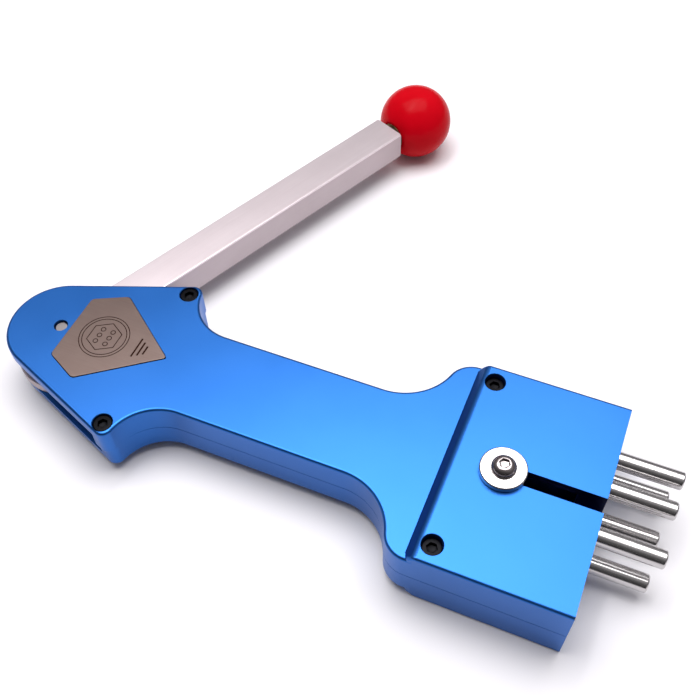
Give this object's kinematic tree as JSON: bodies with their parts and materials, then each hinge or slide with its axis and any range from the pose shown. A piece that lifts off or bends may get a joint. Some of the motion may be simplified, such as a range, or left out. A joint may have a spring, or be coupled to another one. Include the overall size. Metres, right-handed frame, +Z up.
{
  "type": "hand lever rod press",
  "caption": "Hand tool with a flat split aluminium body, a ball-ended lever and a rack that pushes a bank of steel rods out of its head.",
  "frame": {"origin": "on the flat underside of the head, straight below the clamp screw's axis at rest", "axes": "+X along the tool from the lever's pivot to the rods, +Z up out of the face with the badge, +Y to the side where the lever stands at rest"},
  "size_m": [0.311, 0.2869, 0.045],
  "materials": {
    "blue_anodised": "satin blue anodised",
    "black_oxide": "black oxide on steel",
    "satin_aluminium": "satin machined",
    "polished_steel": "polished",
    "machined_steel": "turned or ground",
    "bronze": "plain",
    "brass": "plain",
    "nickel_badge": null,
    "red_ball": "gloss red"
  },
  "bodies": {
    "housing": {"upper_shell": "blue_anodised", "lower_shell": "blue_anodised", "head_screw_far": "black_oxide", "head_screw_near": "black_oxide", "rear_screw_far": "black_oxide", "rear_screw_near": "black_oxide", "head_dowel_far": "machined_steel", "head_dowel_near": "machined_steel", "rear_dowel_far": "machined_steel", "rear_dowel_near": "machined_steel", "badge_plate": "nickel_badge", "pivot_pin": "machined_steel", "upper_bush": "bronze", "lower_bush": "bronze", "stop_pin": "machined_steel", "roller_stud": "machined_steel"},
    "lever": {"lever_arm": "satin_aluminium", "pinion": "machined_steel", "knob_stud": "machined_steel", "knob_insert": "brass", "ball_knob": "red_ball"},
    "carriage": {"carriage": "satin_aluminium", "push_rack": "machined_steel", "rack_screw": "black_oxide", "clamp_washer": "polished_steel", "clamp_screw": "polished_steel", "rod_upper_1": "polished_steel", "rod_upper_2": "polished_steel", "rod_upper_3": "polished_steel", "rod_lower_1": "polished_steel", "rod_lower_2": "polished_steel", "rod_lower_3": "polished_steel", "rod_upper_1_screw": "black_oxide", "rod_upper_2_screw": "black_oxide", "rod_upper_3_screw": "black_oxide", "rod_lower_1_screw": "black_oxide", "rod_lower_2_screw": "black_oxide", "rod_lower_3_screw": "black_oxide"},
    "roller": {"guide_roller": "machined_steel"}
  },
  "joints": [
    {"name": "lever_swing", "type": "hinge", "parent": "housing", "child": "lever", "pos_m": [-0.215, 0, 0.018], "axis": [0, 0, 1], "range_deg": [0, 120]},
    {"name": "rod_slide", "type": "slide", "parent": "housing", "child": "carriage", "axis": [1, 0, 0], "range_m": [0, 0.0189]},
    {"name": "guide_roller_spin", "type": "hinge", "parent": "housing", "child": "roller", "pos_m": [-0.215, -0.0206, 0.018], "axis": [0, 0, 1], "range_deg": [-309, 0]}
  ],
  "couplings": [
    {"joint": "rod_slide", "follows": "lever_swing", "m_per_rad": 0.009},
    {"joint": "guide_roller_spin", "follows": "lever_swing", "ratio": -2.5714}
  ]
}
